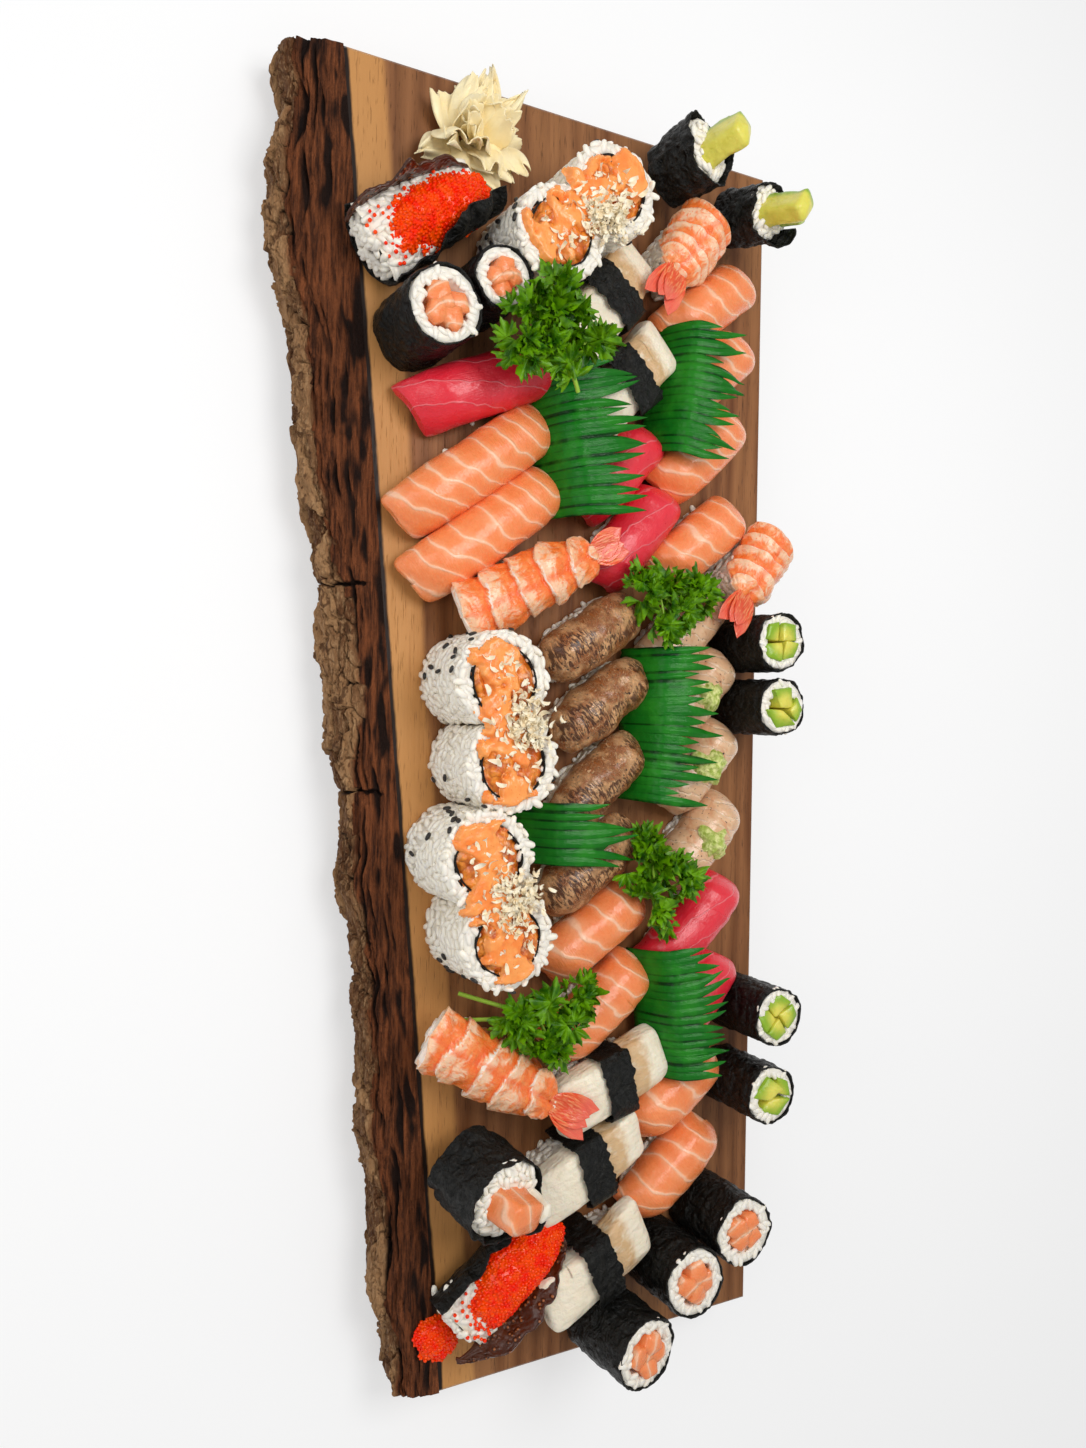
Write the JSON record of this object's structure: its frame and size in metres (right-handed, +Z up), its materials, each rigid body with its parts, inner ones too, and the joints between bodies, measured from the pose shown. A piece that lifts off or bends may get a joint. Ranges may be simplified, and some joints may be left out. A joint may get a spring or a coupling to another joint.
{
  "type": "sushi platter",
  "caption": "Live-edge wooden serving board laid with nigiri, nori rolls, inside-out rolls, hand rolls, roe boats, pickled ginger, parsley and grass-cut dividers.",
  "frame": {"origin": "middle of the board's length and of its greatest width, on its underside", "axes": "+X along the board towards its narrower end, +Y across it towards the straight sawn edge, +Z up"},
  "size_m": [0.43, 0.1867, 0.0638],
  "materials": {
    "board_wood": "oiled walnut",
    "bark": "rough bark",
    "salmon_flesh": "moist, glossy",
    "tuna_flesh": "moist, glossy",
    "prawn_flesh": "moist, glossy",
    "seared_flesh": "seared, satin",
    "white_fish_flesh": "moist, glossy",
    "squid_flesh": "satin",
    "rice": "moist grains",
    "nori": "matte, crinkled",
    "wasabi": "paste",
    "avocado": "satin",
    "roll_filling": "moist",
    "sauce": "glossy",
    "batter": "crisp",
    "roe": "wet beads",
    "crisp_skin": "crisp, glossy",
    "ginger": "thin, translucent",
    "parsley": "leafy",
    "grass_film": "thin translucent film"
  },
  "bodies": {
    "root": {"board_slab": "board_wood", "live_edge_bark": "bark", "salmon_slice_1": "salmon_flesh", "salmon_slice_2": "salmon_flesh", "salmon_slice_3": "salmon_flesh", "salmon_slice_4": "salmon_flesh", "salmon_slice_5": "salmon_flesh", "salmon_slice_6": "salmon_flesh", "salmon_slice_7": "salmon_flesh", "salmon_slice_8": "salmon_flesh", "salmon_slice_9": "salmon_flesh", "salmon_slice_10": "salmon_flesh", "tuna_slice_1": "tuna_flesh", "tuna_slice_2": "tuna_flesh", "tuna_slice_3": "tuna_flesh", "tuna_slice_4": "tuna_flesh", "tuna_slice_5": "tuna_flesh", "prawn_1": "prawn_flesh", "prawn_2": "prawn_flesh", "prawn_3": "prawn_flesh", "prawn_4": "prawn_flesh", "seared_slice_1": "seared_flesh", "seared_slice_2": "seared_flesh", "seared_slice_3": "seared_flesh", "seared_slice_4": "seared_flesh", "white_fish_slice_1": "white_fish_flesh", "white_fish_slice_2": "white_fish_flesh", "white_fish_slice_3": "white_fish_flesh", "white_fish_slice_4": "white_fish_flesh", "squid_slice_1": "squid_flesh", "squid_slice_2": "squid_flesh", "squid_slice_3": "squid_flesh", "squid_slice_4": "squid_flesh", "squid_slice_5": "squid_flesh", "salmon_rice": "rice", "tuna_rice": "rice", "prawn_rice": "rice", "seared_rice": "rice", "white_fish_rice": "rice", "squid_rice": "rice", "squid_nori_bands": "nori", "wasabi_dabs": "wasabi", "roll_nori": "nori", "roll_rice": "rice", "roll_salmon": "salmon_flesh", "roll_avocado": "avocado", "pair_roll_rice": "rice", "pair_roll_nori": "nori", "pair_roll_filling": "roll_filling", "spicy_sauce": "sauce", "batter_flakes": "batter", "hand_roll_nori": "nori", "hand_roll_rice": "rice", "hand_roll_salmon": "salmon_flesh", "hand_roll_avocado": "avocado", "roe": "roe", "crisp_skins": "crisp_skin", "pickled_ginger": "ginger", "parsley": "parsley", "grass_dividers": "grass_film"}
  },
  "joints": []
}
